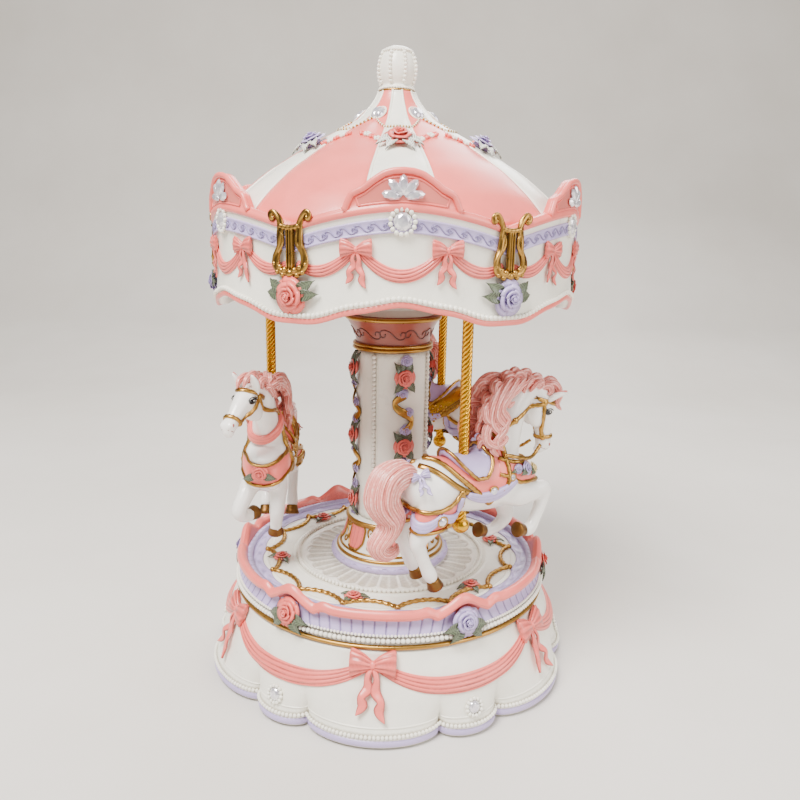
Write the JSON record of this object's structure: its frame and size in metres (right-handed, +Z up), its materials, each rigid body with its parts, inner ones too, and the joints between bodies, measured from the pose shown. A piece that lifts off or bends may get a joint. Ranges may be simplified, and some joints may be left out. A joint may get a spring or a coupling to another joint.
{
  "type": "wind-up music box",
  "caption": "Carousel-shaped wind-up music box: lobed base, round column, turning canopy with rising and falling horses on rope-twist poles, winding key underneath.",
  "frame": {"origin": "centre of the bottom of the overall box, on the table under the column", "axes": "+Z up along the column and drive shaft, -Y towards the front of the base"},
  "size_m": [0.1718, 0.1756, 0.2834],
  "materials": {
    "painted_resin": "satin hand-painted cast resin",
    "black_plate": "moulded, fine grain",
    "foot_rubber": "matt",
    "bright_brass": "polished",
    "gilt": "antique gold paint",
    "steel": "bright plated",
    "spring_steel": "blued",
    "nylon": "moulded"
  },
  "bodies": {
    "base": {"base_skirt": "painted_resin", "bottom_plate": "black_plate", "bottom_screw_1": "steel", "bottom_screw_2": "steel", "bottom_screw_3": "steel", "bottom_screw_4": "steel", "foot_pad_1": "foot_rubber", "foot_pad_2": "foot_rubber", "foot_pad_3": "foot_rubber", "deck": "painted_resin", "pedestal": "painted_resin", "column": "painted_resin", "capital": "painted_resin", "lower_bush": "bright_brass", "upper_bush": "bright_brass", "lift_cam": "nylon", "movement_bedplate": "steel", "movement_screw_1": "steel", "movement_screw_2": "steel", "cylinder_bracket": "steel", "governor_frame": "steel", "comb_base": "bright_brass", "comb": "steel", "comb_screw_1": "steel", "comb_screw_2": "steel"},
    "key": {"winding_arbor": "steel", "winding_key": "bright_brass"},
    "carousel": {"spring_barrel": "bright_brass", "mainspring": "spring_steel", "drive_shaft": "steel", "canopy_hub": "bright_brass", "canopy_plate": "painted_resin", "canopy_valance": "painted_resin", "canopy_roof": "painted_resin", "finial": "painted_resin", "lyre_1": "gilt", "lyre_2": "gilt", "lyre_3": "gilt", "lyre_4": "gilt", "lyre_5": "gilt", "lyre_6": "gilt"},
    "cylinder": {"pin_cylinder": "bright_brass", "cylinder_wheel": "bright_brass"},
    "governor": {"governor_pinion": "steel", "governor_fan": "nylon"},
    "horse_1_set": {"horse_1": "painted_resin", "pole_1": "bright_brass", "ball_1": "bright_brass", "follower_1": "nylon"},
    "horse_2_set": {"horse_2": "painted_resin", "pole_2": "bright_brass", "ball_2": "bright_brass", "follower_2": "nylon"},
    "horse_3_set": {"horse_3": "painted_resin", "pole_3": "bright_brass", "ball_3": "bright_brass", "follower_3": "nylon"}
  },
  "joints": [
    {"name": "key_wind", "type": "hinge", "parent": "base", "child": "key", "pos_m": [0, 0, 0.01], "axis": [0, 0, 1], "continuous": true},
    {"name": "carousel_spin", "type": "hinge", "parent": "base", "child": "carousel", "pos_m": [0, 0, 0.1], "axis": [0, 0, 1], "continuous": true},
    {"name": "cylinder_spin", "type": "hinge", "parent": "base", "child": "cylinder", "pos_m": [0.03, 0, 0.03125], "axis": [1, 0, 0], "continuous": true},
    {"name": "governor_spin", "type": "hinge", "parent": "base", "child": "governor", "pos_m": [0.045, 0.0114, 0.03125], "axis": [1, 0, 0], "continuous": true},
    {"name": "horse_1_lift", "type": "slide", "parent": "carousel", "child": "horse_1_set", "axis": [0, 0, 1], "range_m": [-0.003, 0.009]},
    {"name": "horse_2_lift", "type": "slide", "parent": "carousel", "child": "horse_2_set", "axis": [0, 0, 1], "range_m": [-0.003, 0.009]},
    {"name": "horse_3_lift", "type": "slide", "parent": "carousel", "child": "horse_3_set", "axis": [0, 0, 1], "range_m": [-0.012, 0]}
  ],
  "couplings": [
    {"joint": "cylinder_spin", "follows": "carousel_spin", "ratio": 4},
    {"joint": "governor_spin", "follows": "carousel_spin", "ratio": -15}
  ]
}
